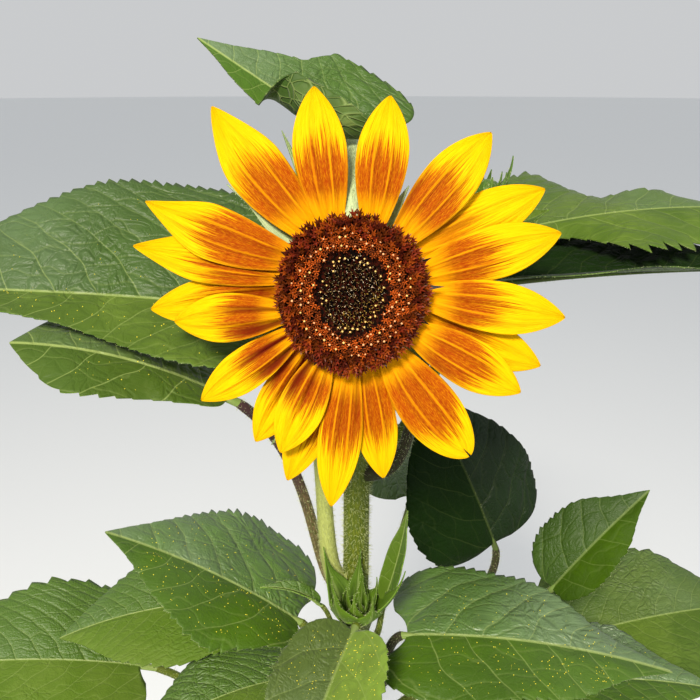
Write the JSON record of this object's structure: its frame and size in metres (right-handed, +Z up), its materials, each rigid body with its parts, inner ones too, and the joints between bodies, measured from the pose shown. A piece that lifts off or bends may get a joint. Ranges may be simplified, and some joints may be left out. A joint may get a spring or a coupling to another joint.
{
  "type": "sunflower plant",
  "caption": "Rooted sunflower plant with a hairy green stem, a yellow and orange-red bloom with a dark brown disc, large toothed leaves, a young side shoot and a closed bud.",
  "frame": {"origin": "middle of the flat cut under the main stem, at ground level", "axes": "+Z up along the stem, -Y the way the bloom faces, +X to the right as seen from in front of the bloom"},
  "size_m": [0.4982, 0.4897, 1.083],
  "materials": {
    "stem": "matt, hairy",
    "leaf": "matt, quilted",
    "petal": "silky",
    "disc": "rough",
    "green_bracts": "matt, hairy"
  },
  "bodies": {
    "root": {"main_stem": "stem", "bud_branch": "stem", "young_shoot": "stem", "cup": "green_bracts", "side_bud": "green_bracts", "shoot_bud": "green_bracts", "disc": "disc", "petal_01": "petal", "petal_02": "petal", "petal_03": "petal", "petal_04": "petal", "petal_05": "petal", "petal_06": "petal", "petal_07": "petal", "petal_08": "petal", "petal_09": "petal", "petal_10": "petal", "petal_11": "petal", "petal_12": "petal", "petal_13": "petal", "petal_14": "petal", "petal_15": "petal", "petal_16": "petal", "petal_17": "petal", "petal_18": "petal", "petal_19": "petal", "petal_20": "petal", "leaf_left_big": "leaf", "leaf_left_lower": "leaf", "leaf_right_upper": "leaf", "leaf_right_lower": "leaf", "leaf_top": "leaf", "leaf_back_upper": "leaf", "leaf_back_lower": "leaf", "leaf_shaded": "leaf", "leaf_shaded_small": "leaf", "leaf_quilted": "leaf", "leaf_far_right": "leaf", "leaf_pale_left": "leaf", "leaf_pale_far_left": "leaf", "leaf_pale_front": "leaf", "leaf_low_left": "leaf", "leaf_low_right": "leaf", "leaf_front": "leaf", "young_leaf_upright": "leaf", "young_leaf_left": "leaf", "bud_leaf": "leaf", "lower_leaf_1": "leaf", "lower_leaf_2": "leaf", "lower_leaf_3": "leaf", "lower_leaf_4": "leaf", "lower_leaf_5": "leaf", "lower_leaf_6": "leaf", "lower_leaf_7": "leaf", "lower_leaf_8": "leaf"}
  },
  "joints": []
}
